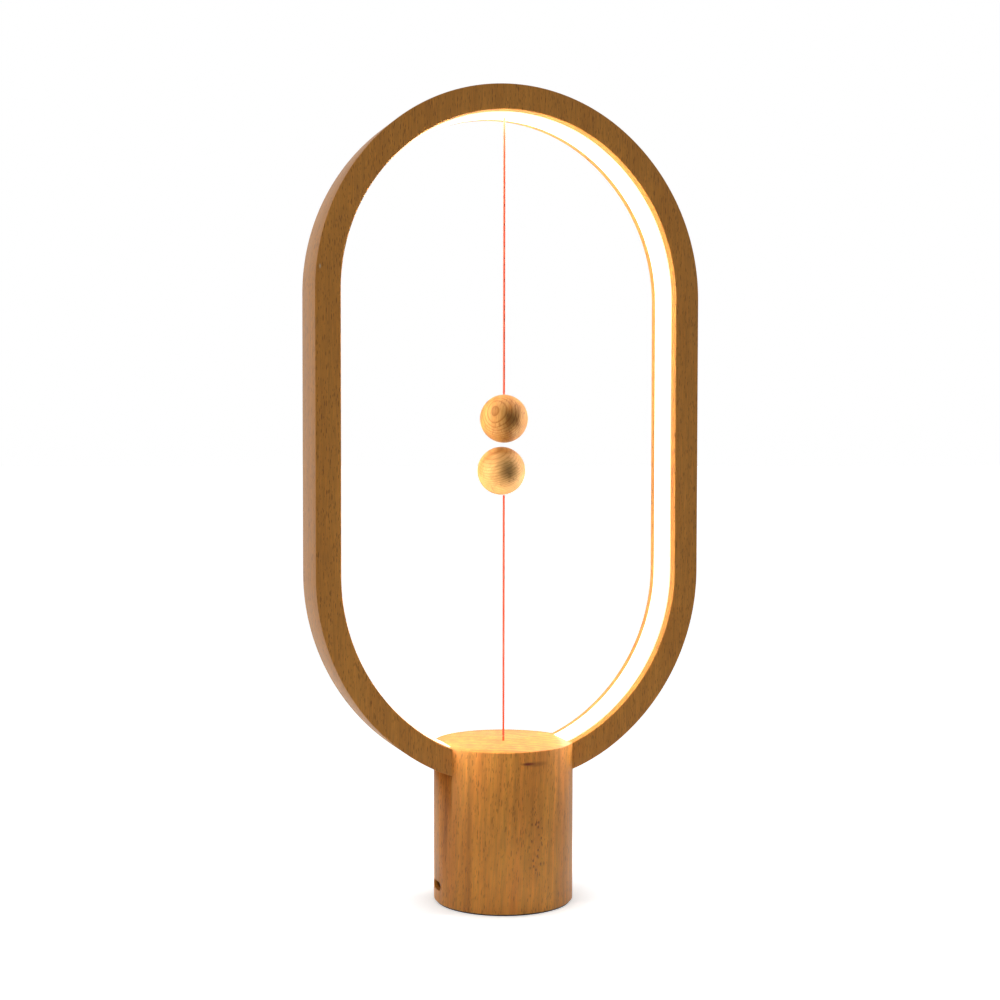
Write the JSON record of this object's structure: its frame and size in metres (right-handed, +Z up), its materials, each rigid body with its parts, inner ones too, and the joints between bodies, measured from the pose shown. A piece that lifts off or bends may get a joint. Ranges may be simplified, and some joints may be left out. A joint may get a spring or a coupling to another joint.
{
  "type": "magnetic balance lamp",
  "caption": "Table lamp: a lit oval wooden ring on a round wooden base, with magnetic wooden balls on threads that meet in mid air and pull its switch.",
  "frame": {"origin": "middle of the foot pad's underside, on the table", "axes": "+Z up, the ring's height; X across the ring, its power socket at -X; the lamp's front faces -Y"},
  "size_m": [0.198, 0.07, 0.405],
  "materials": {
    "beech_base": "oiled satin, fine grain",
    "beech_ring": "oiled satin, fine grain",
    "beech_ball": "turned, satin",
    "opal_plastic": "translucent opal, lit from behind",
    "tape_white": "white solder mask",
    "chip_plastic": "warm white light chip",
    "coral_thread": "fine twisted thread",
    "zinc_steel": "zinc plated",
    "magnet_nickel": "nickel plated",
    "brass": "drawn",
    "iron_cast": "painted dark grey",
    "nylon": "natural nylon",
    "black_plastic": "moulded",
    "red_plastic": "moulded",
    "board_green": "solder mask",
    "wire_red": "insulated wire",
    "wire_black": "insulated wire",
    "pad_rubber": "soft matt pad"
  },
  "bodies": {
    "lamp": {"base_body": "beech_base", "ring_frame": "beech_ring", "light_diffuser": "opal_plastic", "led_tape": "tape_white", "led_chips": "chip_plastic", "leg_screws": "zinc_steel", "anchor_ferrule": "brass", "anchor_thread": "coral_thread", "thread_bush": "nylon", "switch_body": "black_plastic", "switch_terminals": "brass", "lever_pin": "zinc_steel", "switch_bracket": "zinc_steel", "switch_screws": "zinc_steel", "bracket_screws": "zinc_steel", "ballast_disc": "iron_cast", "ballast_screws": "zinc_steel", "circuit_board": "board_green", "power_socket": "zinc_steel", "board_components": "black_plastic", "board_screws": "zinc_steel", "bottom_cover": "black_plastic", "cover_screws": "zinc_steel", "foot_pad": "pad_rubber", "led_leads": "wire_red", "switch_leads": "wire_black"},
    "upper_string": {"upper_thread": "coral_thread"},
    "upper_ball": {"upper_ball": "beech_ball", "upper_magnet": "magnet_nickel", "upper_ball_plug": "beech_ball", "upper_knot": "coral_thread"},
    "pull": {"pull_thread": "coral_thread", "pull_bead": "brass"},
    "lower_string": {"lower_thread": "coral_thread"},
    "lower_ball": {"lower_ball": "beech_ball", "lower_magnet": "magnet_nickel", "lower_ball_plug": "beech_ball", "lower_knot": "coral_thread"},
    "lever": {"switch_lever": "zinc_steel"},
    "button": {"switch_button": "red_plastic"}
  },
  "joints": [
    {"name": "upper_thread_swing", "type": "hinge", "parent": "lamp", "child": "upper_string", "pos_m": [0, 0, 0.3911], "axis": [1, 0, 0], "range_deg": [-80, 80]},
    {"name": "upper_ball_nod", "type": "hinge", "parent": "upper_string", "child": "upper_ball", "pos_m": [0, 0, 0.2548], "axis": [0, 1, 0], "range_deg": [-30, 30]},
    {"name": "switch_pull", "type": "slide", "parent": "lamp", "child": "pull", "axis": [0, 0, 1], "range_m": [-0.002, 0], "stiffness_N_per_m": 80, "springref_m": 0.002},
    {"name": "lower_thread_swing", "type": "hinge", "parent": "pull", "child": "lower_string", "pos_m": [0, 0, 0.083], "axis": [1, 0, 0], "range_deg": [-85, 85], "stiffness_Nm_per_rad": 0.03},
    {"name": "lower_ball_nod", "type": "hinge", "parent": "lower_string", "child": "lower_ball", "pos_m": [0, 0, 0.2032], "axis": [0, 1, 0], "range_deg": [-24, 36], "stiffness_Nm_per_rad": 0.004},
    {"name": "lever_turn", "type": "hinge", "parent": "lamp", "child": "lever", "pos_m": [0.014, 0, 0.0481], "axis": [0, 1, 0], "range_deg": [-8.3, 0]},
    {"name": "button_press", "type": "slide", "parent": "lamp", "child": "button", "axis": [0, 0, 1], "range_m": [-0.0008, 0]}
  ],
  "couplings": [
    {"joint": "lever_turn", "follows": "switch_pull", "rad_per_m": 71.429},
    {"joint": "button_press", "follows": "switch_pull", "ratio": 0.39286}
  ]
}
